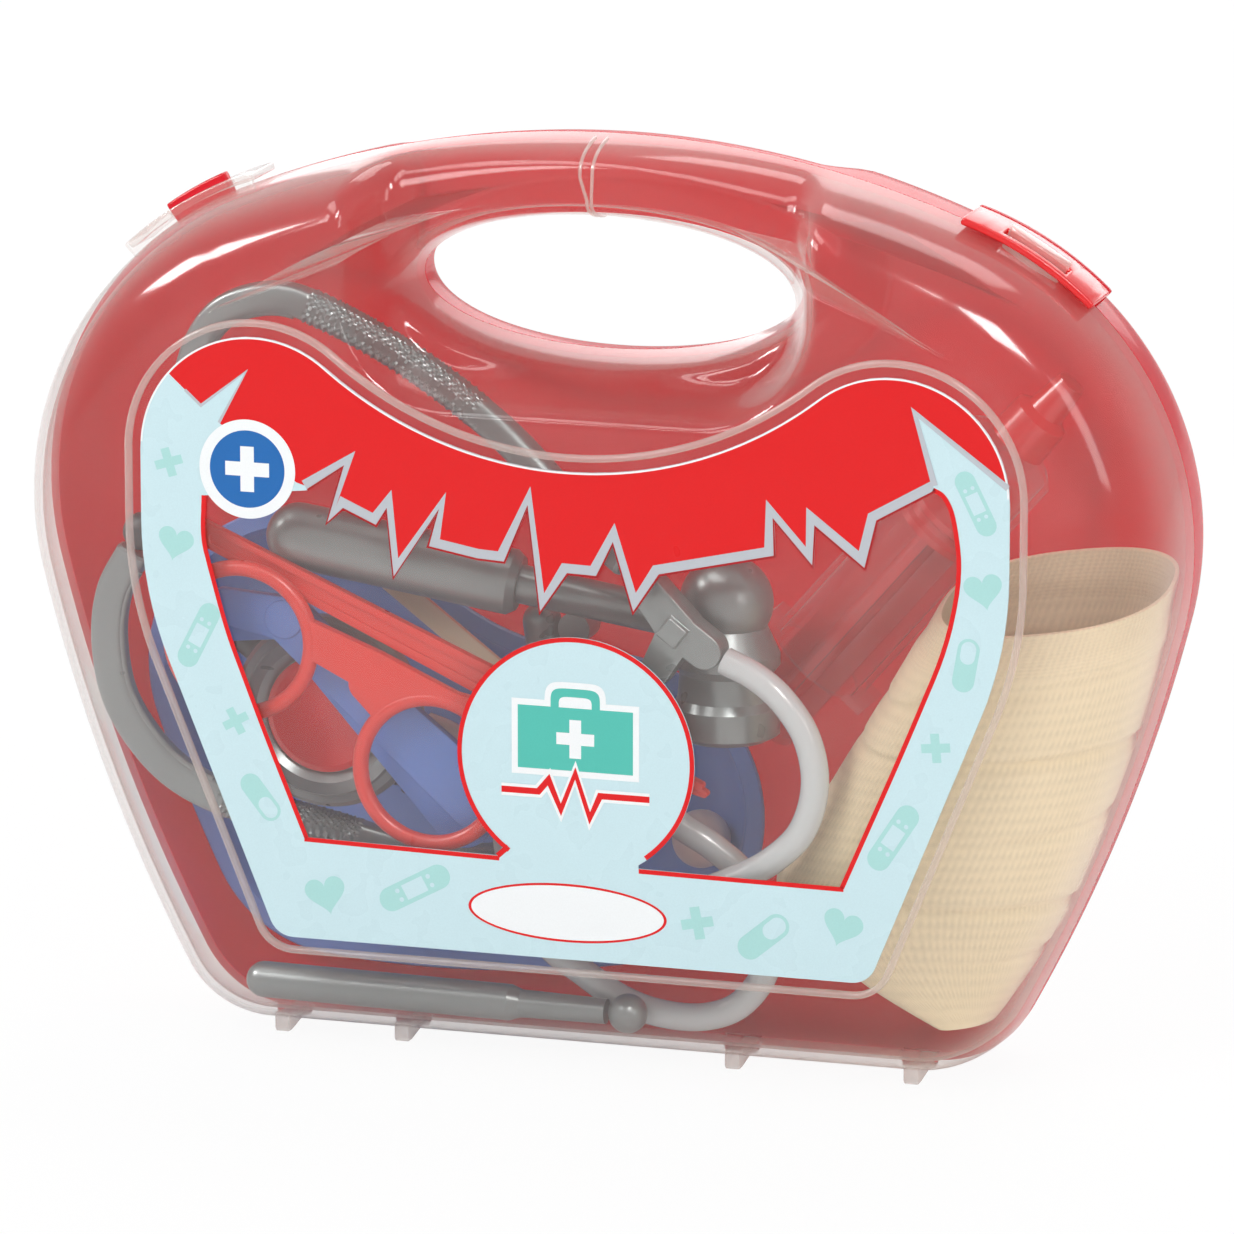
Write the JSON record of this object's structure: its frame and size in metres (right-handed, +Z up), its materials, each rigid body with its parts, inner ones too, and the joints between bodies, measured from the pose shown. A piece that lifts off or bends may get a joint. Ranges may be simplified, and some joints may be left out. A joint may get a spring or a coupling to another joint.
{
  "type": "toy doctor case",
  "caption": "Toy doctor case with a clear front shell, a red back shell, a carry handle and play instruments inside.",
  "frame": {"origin": "centre of the surface under the feet, in the parting plane of the two shells", "axes": "+X to the viewer's right of the case, +Y towards the red back shell, +Z up"},
  "size_m": [0.28, 0.0688, 0.2185],
  "materials": {
    "clear": "clear",
    "red": "gloss",
    "card": "satin",
    "coral": "satin",
    "grey": "satin",
    "dark": "satin",
    "blue": "satin",
    "white_hose": "gloss",
    "cream": "matte",
    "bulb": "matte",
    "cloth": "matte"
  },
  "bodies": {
    "case_back": {"back_shell": "red", "scissor_loops": "coral", "hammer_handle": "grey", "hammer_head": "grey", "forceps_front": "blue", "chest_body": "grey", "chest_disc": "red", "yoke": "grey", "hose": "white_hose", "upper_arm": "grey", "lower_arm": "grey", "upper_ear_tip": "dark", "lower_ear_tip": "dark", "syringe_barrel": "clear", "syringe_cap": "red", "torch_body": "dark", "torch_tip": "cream", "spatula": "cream", "otoscope_body": "grey", "otoscope_lamp": "grey", "thermometer_body": "grey", "thermometer_tip": "grey", "rubber_bulb": "bulb", "kidney_dish": "blue", "bandage_sleeve": "cloth"},
    "case_front": {"front_shell": "clear", "window_card": "card"},
    "latch_left": {"left_latch": "clear"},
    "latch_right": {"right_latch": "red"},
    "scissors_arm": {"scissor_bar": "coral"},
    "forceps_arm": {"forceps_rear": "blue"},
    "plunger": {"syringe_plunger": "red"}
  },
  "joints": [
    {"name": "cover_hinge", "type": "hinge", "parent": "case_back", "child": "case_front", "pos_m": [0, 0, 0.002], "axis": [1, 0, 0], "range_deg": [0, 170]},
    {"name": "left_latch_flex", "type": "hinge", "parent": "case_front", "child": "latch_left", "pos_m": [-0.10277, -0.006, 0.19695], "axis": [0.8607, 0, 0.509], "range_deg": [0, 12], "stiffness_Nm_per_rad": 0.03},
    {"name": "right_latch_flex", "type": "hinge", "parent": "case_back", "child": "latch_right", "pos_m": [0.10277, 0.006, 0.19695], "axis": [-0.8607, 0, 0.509], "range_deg": [0, 12], "stiffness_Nm_per_rad": 0.03},
    {"name": "scissors_pivot", "type": "hinge", "parent": "case_back", "child": "scissors_arm", "pos_m": [0.008, -0.0242, 0.078], "axis": [0, -1, 0], "range_deg": [0, 9]},
    {"name": "forceps_pivot", "type": "hinge", "parent": "case_back", "child": "forceps_arm", "pos_m": [-0.0739, -0.0182, 0.1024], "axis": [0, -1, 0], "range_deg": [-4, 6]},
    {"name": "plunger_slide", "type": "slide", "parent": "case_back", "child": "plunger", "axis": [0.6525, 0, 0.7578], "range_m": [0, 0.016]}
  ]
}
